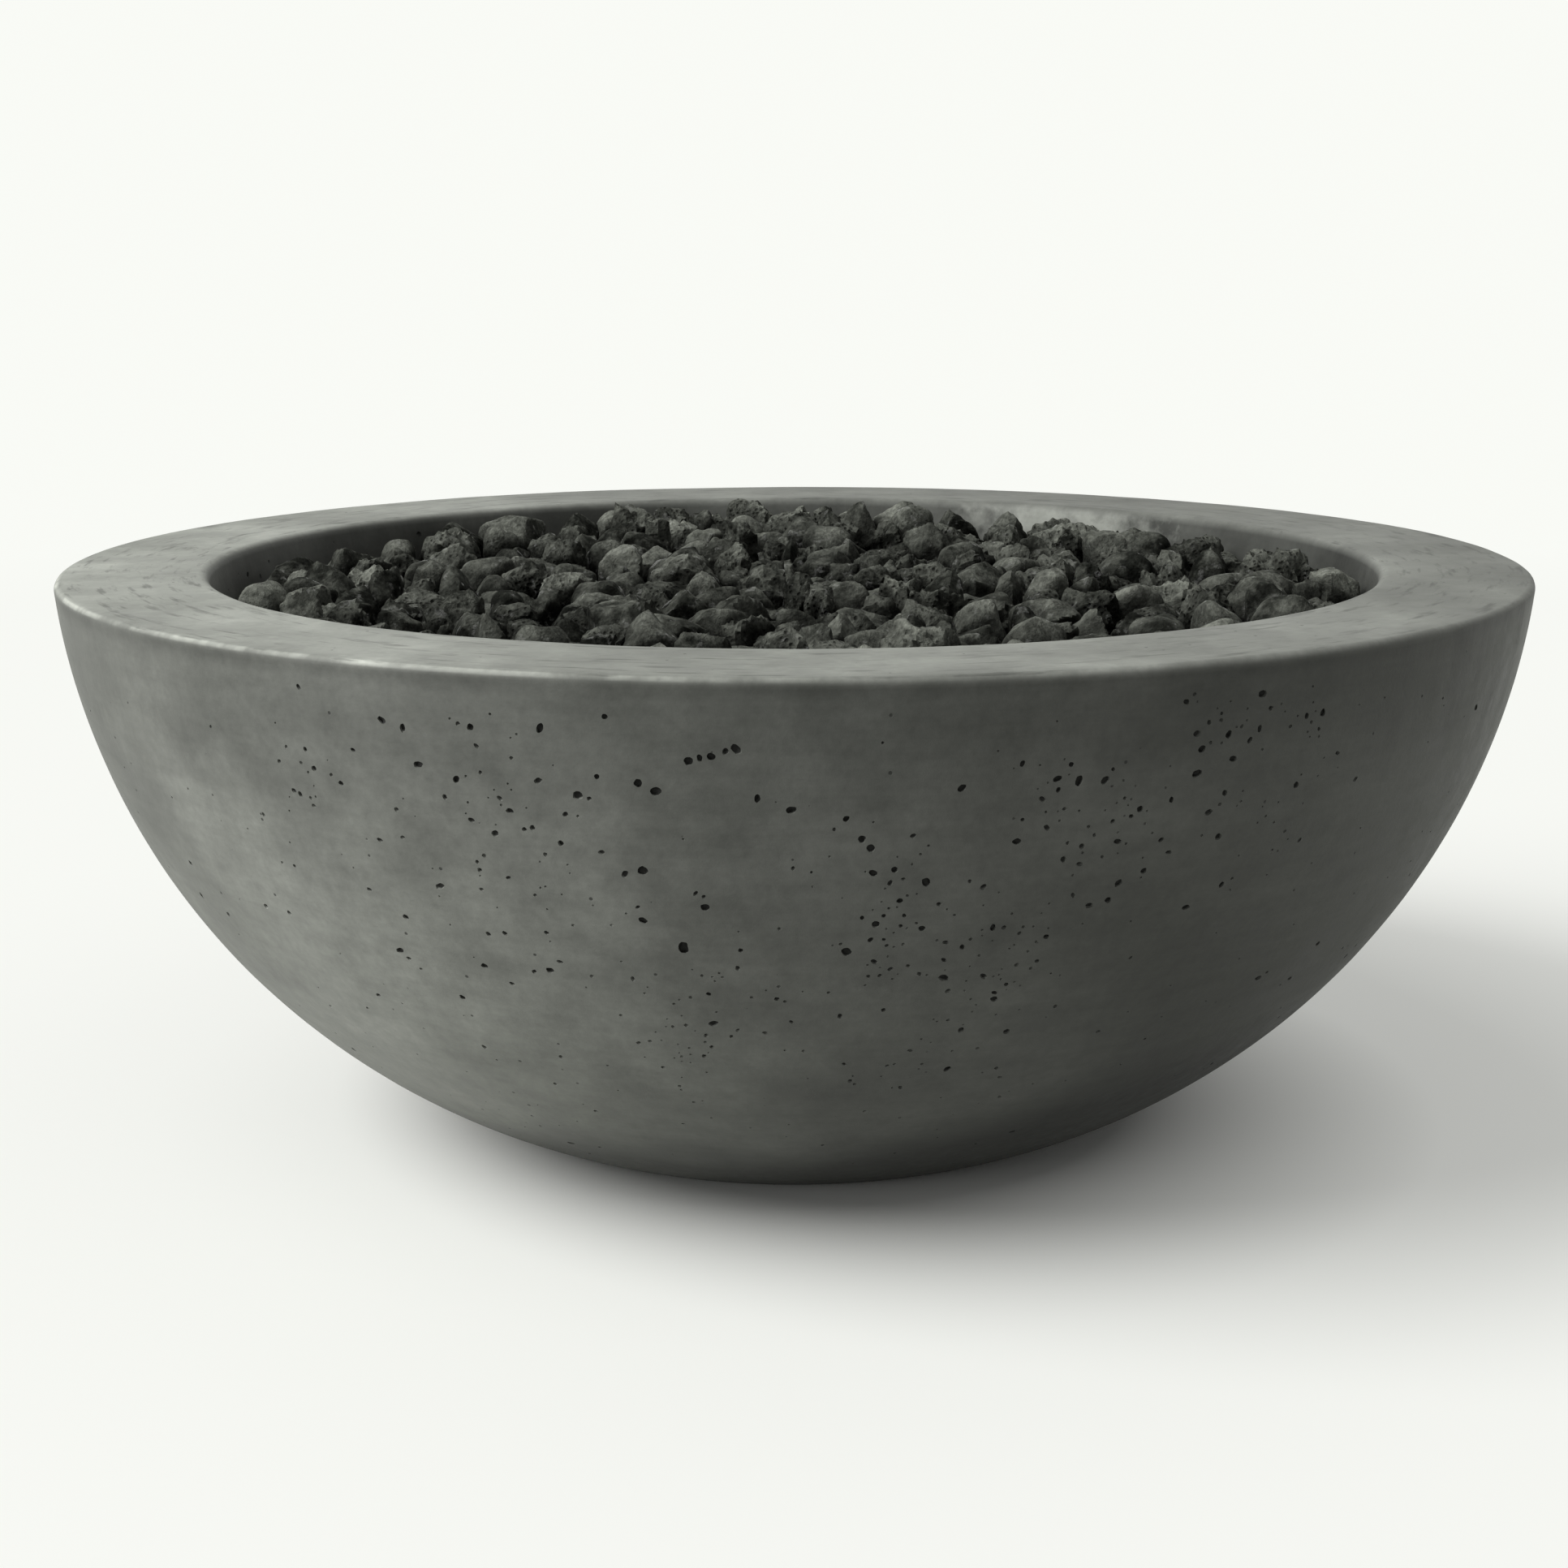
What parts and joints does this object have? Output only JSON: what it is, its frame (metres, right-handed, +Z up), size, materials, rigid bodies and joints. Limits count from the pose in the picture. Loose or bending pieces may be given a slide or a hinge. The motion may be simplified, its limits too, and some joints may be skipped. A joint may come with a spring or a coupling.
{
  "type": "gas fire pit bowl",
  "caption": "Round cast concrete gas fire bowl with a flat rim, ring burner under lava rock, and a key valve in the back wall.",
  "frame": {"origin": "on the floor, under the middle of the bowl", "axes": "+Z up, -Y towards the front as pictured, +Y towards the key valve at the back"},
  "size_m": [0.9132, 0.9132, 0.355],
  "materials": {
    "concrete": "satin",
    "lava": "matte",
    "granule": "matte",
    "stainless": "satin",
    "flange_steel": "satin",
    "hose_steel": "satin",
    "key_chrome": "gloss",
    "brass": "satin",
    "pad_rubber": "matte",
    "seal_rubber": "satin",
    "seat_plastic": "matte"
  },
  "bodies": {
    "bowl": {"bowl_shell": "concrete", "base_pads": "pad_rubber", "burner_pan": "stainless", "burner_outer_ring": "stainless", "burner_inner_ring": "stainless", "burner_spokes": "stainless", "burner_hub": "stainless", "hub_nipple": "stainless", "hub_locknut": "stainless", "hub_washer": "stainless", "gas_orifice": "brass", "burner_elbow": "brass", "valve_body": "brass", "valve_seats": "seat_plastic", "valve_gland_nut": "brass", "valve_extension": "brass", "wall_washer": "stainless", "wall_locknut": "stainless", "valve_flange": "flange_steel", "valve_adapters": "brass", "inlet_bracket": "stainless", "bracket_screws": "stainless", "inlet_coupling": "brass", "inlet_locknut": "brass", "inlet_elbow": "brass", "supply_hose": "hose_steel", "burner_hose": "hose_steel", "flare_nuts": "brass", "lava_granules": "granule", "lava_rocks_ring_1": "lava", "lava_rocks_ring_2": "lava", "lava_rocks_ring_3": "lava", "lava_rocks_ring_4": "lava", "lava_rocks_ring_5": "lava", "lava_rocks_ring_6": "lava"},
    "valve_rotor": {"valve_ball": "brass", "valve_stem": "brass", "stem_o_rings": "seal_rubber"},
    "key": {"gas_key": "key_chrome"}
  },
  "joints": [
    {"name": "valve_turn", "type": "hinge", "parent": "bowl", "child": "valve_rotor", "pos_m": [0, 0.262, 0.19], "axis": [0, 1, 0], "range_deg": [0, 90]},
    {"name": "key_withdraw", "type": "slide", "parent": "valve_rotor", "child": "key", "axis": [0, 1, 0], "range_m": [0, 0.08]}
  ]
}
